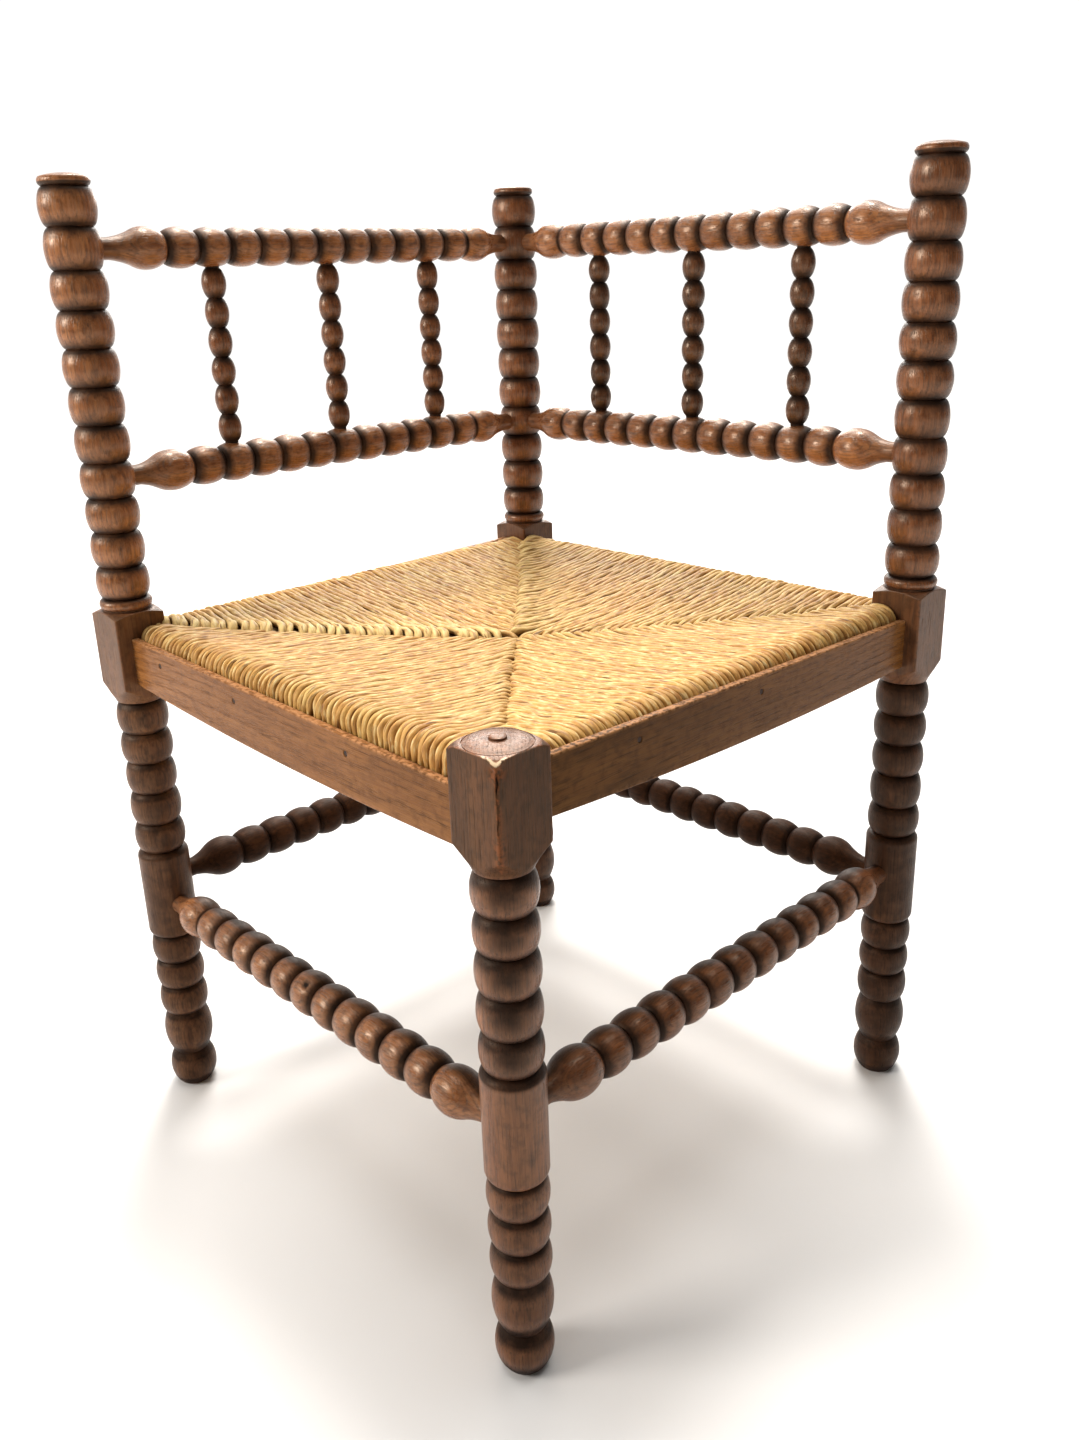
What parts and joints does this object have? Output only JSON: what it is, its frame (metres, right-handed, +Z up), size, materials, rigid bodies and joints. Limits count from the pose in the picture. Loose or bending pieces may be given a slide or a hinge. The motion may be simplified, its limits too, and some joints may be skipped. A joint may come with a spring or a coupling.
{
  "type": "corner chair",
  "caption": "Bobbin-turned wooden corner chair with a dished rush seat, nailed edge strips and turned back rails joined by spindles.",
  "frame": {"origin": "on the floor, under the middle of the seat", "axes": "+Z up; the four posts stand at the corners of a square with sides along X and Y; the short front post is at +X -Y, so the chair faces along +X -Y, and the back post is at -X +Y"},
  "size_m": [0.482, 0.482, 0.766],
  "materials": {
    "turned_oak": "waxed and worn, satin on the crests and dark in the grooves",
    "strip_oak": "dry and matt, with worn edges",
    "seat_frame_wood": "sawn and unpolished",
    "nail_iron": "dark hand-made iron",
    "rush": "twisted dry rush with a soft sheen",
    "packing": "dry and dull"
  },
  "bodies": {
    "root": {"lower_rail_back_left": "turned_oak", "lower_rail_back_right": "turned_oak", "post_back": "turned_oak", "post_front": "turned_oak", "post_left": "turned_oak", "post_right": "turned_oak", "rush_packing": "packing", "rush_seat": "rush", "seat_rail_back_left": "seat_frame_wood", "seat_rail_back_right": "seat_frame_wood", "seat_rail_front_left": "seat_frame_wood", "seat_rail_front_right": "seat_frame_wood", "seat_strip_back_left": "strip_oak", "seat_strip_back_right": "strip_oak", "seat_strip_front_left": "strip_oak", "seat_strip_front_right": "strip_oak", "spindle_back_left_1": "turned_oak", "spindle_back_left_2": "turned_oak", "spindle_back_left_3": "turned_oak", "spindle_back_right_1": "turned_oak", "spindle_back_right_2": "turned_oak", "spindle_back_right_3": "turned_oak", "stretcher_back_left": "turned_oak", "stretcher_back_right": "turned_oak", "stretcher_front_left": "turned_oak", "stretcher_front_right": "turned_oak", "strip_nails": "nail_iron", "top_rail_back_left": "turned_oak", "top_rail_back_right": "turned_oak"}
  },
  "joints": []
}
